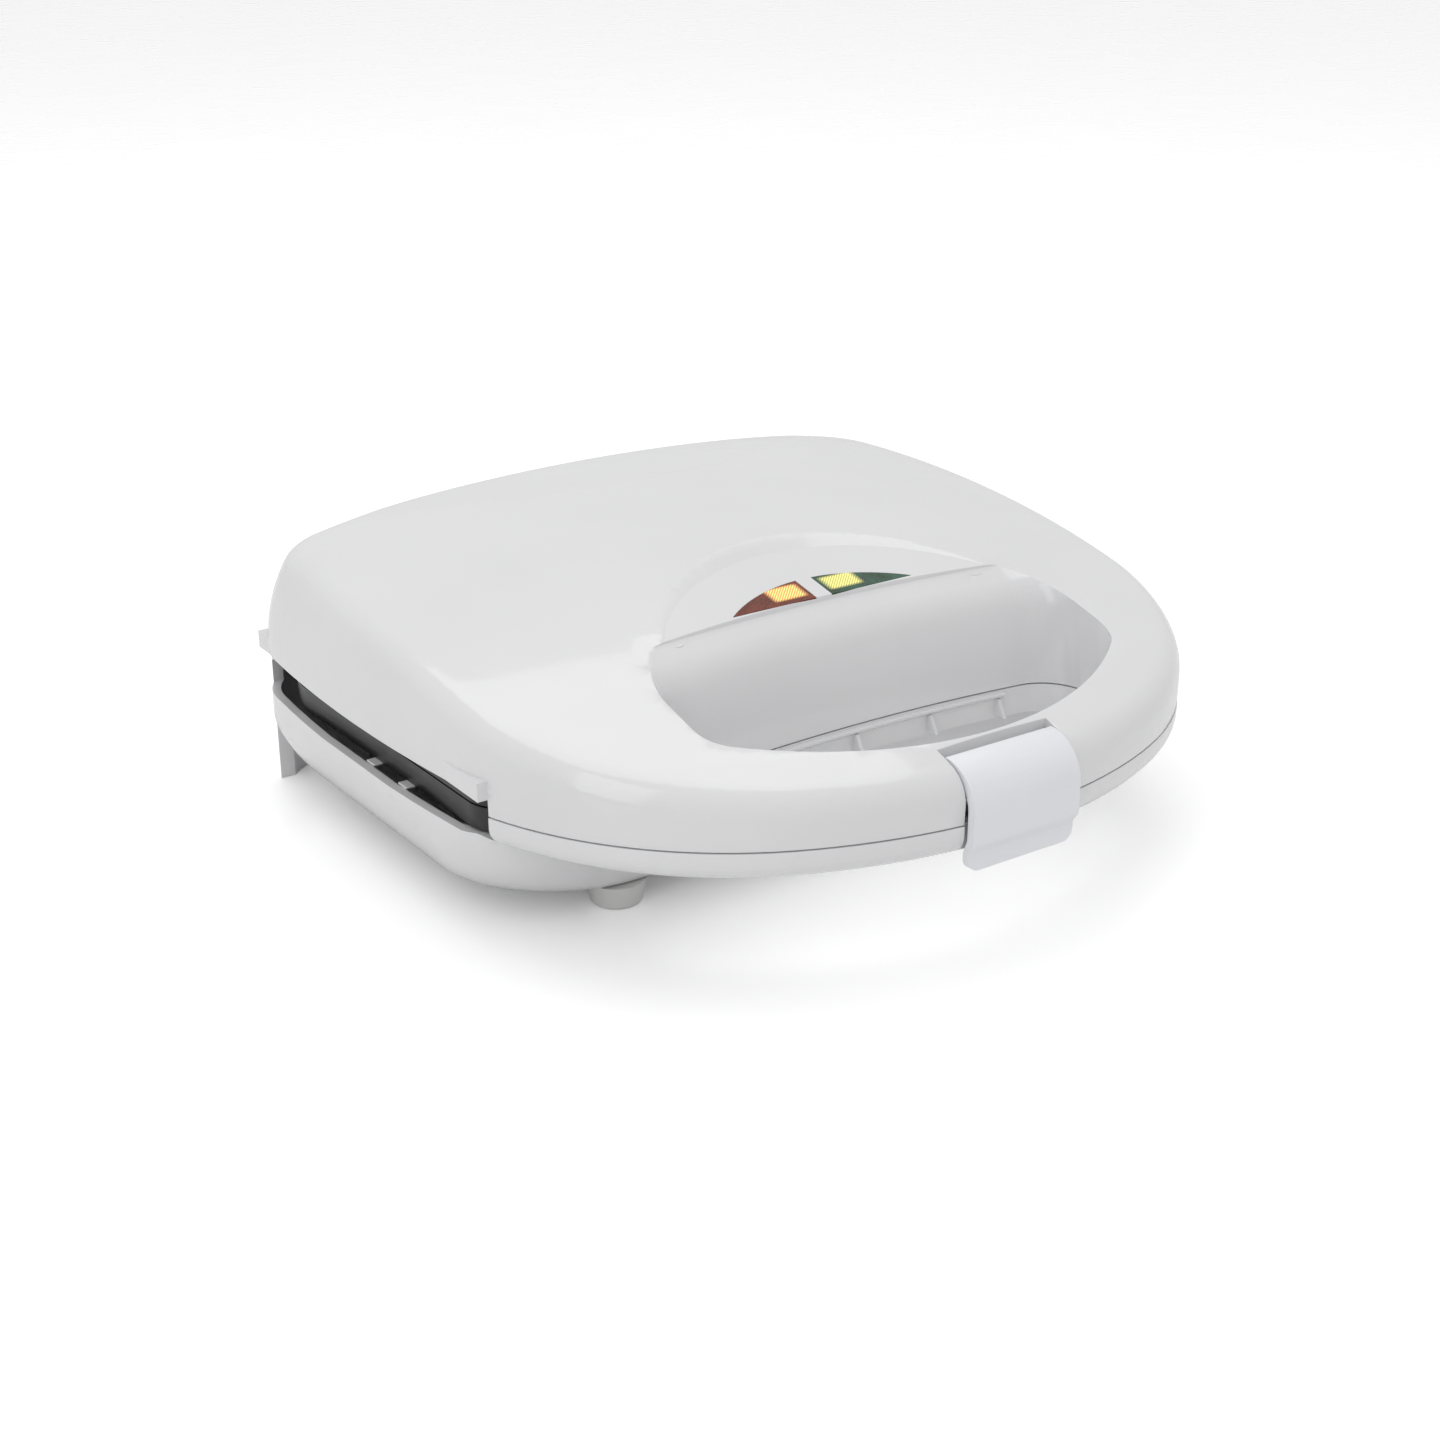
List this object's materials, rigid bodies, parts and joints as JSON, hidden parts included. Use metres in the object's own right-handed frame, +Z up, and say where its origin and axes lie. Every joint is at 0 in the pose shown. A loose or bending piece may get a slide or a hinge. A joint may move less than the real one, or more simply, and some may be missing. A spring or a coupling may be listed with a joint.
{
  "type": "sandwich maker",
  "caption": "Hinged sandwich toaster: crowned white lid and base shells with a D-shaped handle, front latch, two indicator lenses and coated plates with triangular pockets.",
  "frame": {"origin": "on the table plane, under the middle of the closed object", "axes": "+X to the user's right, +Y to the hinge at the back, +Z up"},
  "size_m": [0.228, 0.224, 0.0823],
  "materials": {
    "white_shell": "gloss moulded",
    "latch_plastic": "satin moulded",
    "white_inner": "moulded",
    "plate_coating": "black non-stick coating on cast aluminium",
    "heater_steel": "heat tinted",
    "zinc_steel": "zinc plated",
    "bright_aluminium": "mill",
    "red_lens": "clear moulded red",
    "green_lens": "clear moulded green",
    "lamp_glass": "neon lamp",
    "foot_rubber": "soft",
    "ceramic_white": "unglazed ceramic look"
  },
  "bodies": {
    "base": {"base_shell": "white_shell", "lower_cook_plate": "plate_coating", "lower_heating_element": "heater_steel", "lower_element_straps": "zinc_steel", "lower_reflector": "bright_aluminium", "lower_plate_screws": "zinc_steel", "hinge_pins": "zinc_steel", "left_foot": "foot_rubber", "right_foot": "foot_rubber", "mains_inlet": "white_inner", "terminal_block": "ceramic_white"},
    "lid": {"lid_shell": "white_shell", "upper_cook_plate": "plate_coating", "upper_heating_element": "heater_steel", "upper_element_straps": "zinc_steel", "upper_reflector": "bright_aluminium", "upper_plate_screws": "zinc_steel", "latch_pin": "zinc_steel", "red_lens": "red_lens", "green_lens": "green_lens", "red_lamp": "lamp_glass", "green_lamp": "lamp_glass", "lamp_holder": "white_inner", "thermostat": "ceramic_white"},
    "latch": {"latch": "latch_plastic"}
  },
  "joints": [
    {"name": "lid_hinge", "type": "hinge", "parent": "base", "child": "lid", "pos_m": [0, 0.1065, 0.04], "axis": [-1, 0, 0], "range_deg": [0, 105]},
    {"name": "latch_pivot", "type": "hinge", "parent": "lid", "child": "latch", "pos_m": [0, -0.1022, 0.048], "axis": [-1, 0, 0], "range_deg": [0, 50]}
  ]
}
